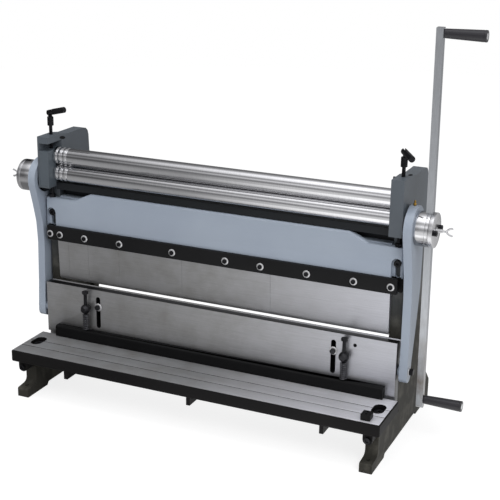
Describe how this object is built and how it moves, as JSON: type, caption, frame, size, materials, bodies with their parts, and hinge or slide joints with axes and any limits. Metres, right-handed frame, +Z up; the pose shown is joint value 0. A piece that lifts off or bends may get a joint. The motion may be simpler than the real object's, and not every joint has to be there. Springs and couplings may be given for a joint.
{
  "type": "combination sheet metal machine",
  "caption": "Floor-standing sheet metal machine with plate rolls on top, a fingered folding brake in the middle and a shear at the bed, worked by one crank bar",
  "frame": {"origin": "bottom centre of the machine's box, on the floor", "axes": "+X runs along the machine to the crank side, +Y to the back, +Z up"},
  "size_m": [1.376, 0.521, 1.1218],
  "materials": {
    "slate_paint": "satin slate grey paint",
    "dark_paint": "dark grey paint",
    "light_blue_paint": "satin light blue-grey paint",
    "ground_iron": "ground iron with black painted edges",
    "ground_steel": "ground steel",
    "black_steel": "black oxide",
    "polished_steel": "polished steel",
    "bright_steel": "bright turned steel",
    "spring_steel": "dark spring steel",
    "brass": "bare brass",
    "grip_plastic": "black moulded grip"
  },
  "bodies": {
    "stand": {"left_frame": "slate_paint", "right_frame": "slate_paint", "head_tie_bar": "slate_paint", "rear_tie_bar": "dark_paint", "bed": "ground_iron", "lower_blade": "ground_steel", "bed_stop": "black_steel", "left_bed_bolt": "black_steel", "right_bed_bolt": "black_steel", "upper_beam": "light_blue_paint", "left_beam_bolt": "black_steel", "right_beam_bolt": "black_steel", "left_beam_jack_screw": "black_steel", "right_beam_jack_screw": "black_steel", "finger_clamp_bar": "black_steel", "brake_finger_1": "ground_steel", "brake_finger_2": "ground_steel", "brake_finger_3": "ground_steel", "brake_finger_4": "ground_steel", "brake_finger_5": "ground_steel", "brake_finger_6": "ground_steel", "left_guide_bolt": "black_steel", "right_guide_bolt": "black_steel"},
    "crank": {"lower_roll": "polished_steel", "lower_gear": "spring_steel", "left_eccentric_hub": "bright_steel", "right_eccentric_hub": "bright_steel", "left_hub_cap": "bright_steel", "right_hub_cap": "bright_steel", "crank_bar": "bright_steel"},
    "left_wing": {"left_wing_screw": "bright_steel"},
    "right_wing": {"right_wing_screw": "bright_steel"},
    "upper_handgrip": {"upper_grip": "grip_plastic"},
    "lower_handgrip": {"lower_grip": "grip_plastic"},
    "roll_carriage": {"left_roll_block": "slate_paint", "right_roll_block": "slate_paint"},
    "top_roll": {"upper_roll": "polished_steel", "upper_gear": "spring_steel"},
    "left_screw": {"left_clamp_screw": "black_steel"},
    "right_screw": {"right_clamp_screw": "black_steel"},
    "left_tee": {"left_clamp_grip": "black_steel"},
    "right_tee": {"right_clamp_grip": "black_steel"},
    "rear_carriage": {"left_rear_adjuster": "black_steel", "right_rear_adjuster": "black_steel"},
    "bending_roll": {"rear_roll": "polished_steel"},
    "ram": {"ram_plate": "ground_steel", "upper_blade": "ground_steel", "left_arm_bolt": "black_steel", "right_arm_bolt": "black_steel", "left_hold_down_eye": "black_steel", "right_hold_down_eye": "black_steel"},
    "left_lift_arm": {"left_arm": "light_blue_paint"},
    "right_lift_arm": {"right_arm": "light_blue_paint", "grease_nipple": "brass"},
    "hold_down": {"hold_down_bar": "black_steel", "left_hold_down_bolt": "black_steel", "right_hold_down_bolt": "black_steel", "left_hold_down_spring": "spring_steel", "right_hold_down_spring": "spring_steel"}
  },
  "joints": [
    {"name": "crank_turn", "type": "hinge", "parent": "stand", "child": "crank", "pos_m": [-0.026, -0.06345, 0.6313], "axis": [1, 0, 0], "range_deg": [0, 60]},
    {"name": "left_wing_turn", "type": "hinge", "parent": "crank", "child": "left_wing", "pos_m": [-0.666, -0.06345, 0.6125], "axis": [1, 0, 0], "range_deg": [-90, 90]},
    {"name": "right_wing_turn", "type": "hinge", "parent": "crank", "child": "right_wing", "pos_m": [0.614, -0.06345, 0.6125], "axis": [1, 0, 0], "range_deg": [-90, 90]},
    {"name": "upper_grip_spin", "type": "hinge", "parent": "crank", "child": "upper_handgrip", "pos_m": [0.624, -0.08072, 1.107], "axis": [1, 0, 0], "continuous": true},
    {"name": "lower_grip_spin", "type": "hinge", "parent": "crank", "child": "lower_handgrip", "pos_m": [0.624, -0.04684, 0.137], "axis": [1, 0, 0], "continuous": true},
    {"name": "roll_gap", "type": "slide", "parent": "stand", "child": "roll_carriage", "axis": [0, 0, 1], "range_m": [0, 0.0015]},
    {"name": "upper_roll_spin", "type": "hinge", "parent": "roll_carriage", "child": "top_roll", "pos_m": [-0.026, -0.06345, 0.6821], "axis": [1, 0, 0], "range_deg": [-60, 0]},
    {"name": "left_clamp_screw_turn", "type": "hinge", "parent": "roll_carriage", "child": "left_screw", "pos_m": [-0.5497, -0.06345, 0.8045], "axis": [0, 0, 1], "range_deg": [0, 360]},
    {"name": "right_clamp_screw_turn", "type": "hinge", "parent": "roll_carriage", "child": "right_screw", "pos_m": [0.4977, -0.06345, 0.8045], "axis": [0, 0, 1], "range_deg": [0, 360]},
    {"name": "left_clamp_grip_fold", "type": "hinge", "parent": "left_screw", "child": "left_tee", "pos_m": [-0.5497, -0.06345, 0.8045], "axis": [0, -1, 0], "range_deg": [-15, 75]},
    {"name": "right_clamp_grip_fold", "type": "hinge", "parent": "right_screw", "child": "right_tee", "pos_m": [0.4977, -0.06345, 0.8045], "axis": [-0.7789, -0.6272, 0], "range_deg": [-5, 95]},
    {"name": "rear_roll_shift", "type": "slide", "parent": "stand", "child": "rear_carriage", "axis": [0, -0.6467, 0.7628], "range_m": [-0.03, 0.03]},
    {"name": "rear_roll_spin", "type": "hinge", "parent": "rear_carriage", "child": "bending_roll", "pos_m": [-0.026, 0.01555, 0.65], "axis": [1, 0, 0], "continuous": true},
    {"name": "ram_lift", "type": "slide", "parent": "stand", "child": "ram", "axis": [0, 0, 1], "range_m": [0, 0.0091], "deforming": ["left_hold_down_spring", "right_hold_down_spring"]},
    {"name": "left_arm_swing", "type": "hinge", "parent": "ram", "child": "left_lift_arm", "pos_m": [-0.571, -0.06495, 0.2165], "axis": [1, 0, 0], "range_deg": [-2.4, 0]},
    {"name": "right_arm_swing", "type": "hinge", "parent": "ram", "child": "right_lift_arm", "pos_m": [0.5207, -0.06495, 0.2165], "axis": [1, 0, 0], "range_deg": [-2.4, 0]},
    {"name": "hold_down_lift", "type": "slide", "parent": "stand", "child": "hold_down", "axis": [0, 0, 1], "range_m": [0, 0.006], "stiffness_N_per_m": 1500, "springref_m": -0.01, "deforming": ["left_hold_down_spring", "right_hold_down_spring"]}
  ],
  "couplings": [
    {"joint": "ram_lift", "follows": "crank_turn", "m_per_rad": 0.008594},
    {"joint": "left_arm_swing", "follows": "crank_turn", "ratio": -0.0392},
    {"joint": "right_arm_swing", "follows": "crank_turn", "ratio": -0.0392},
    {"joint": "upper_roll_spin", "follows": "crank_turn", "ratio": -1},
    {"joint": "roll_gap", "follows": "left_clamp_screw_turn", "m_per_rad": 0.0002387},
    {"joint": "right_clamp_screw_turn", "follows": "left_clamp_screw_turn", "ratio": 1}
  ]
}
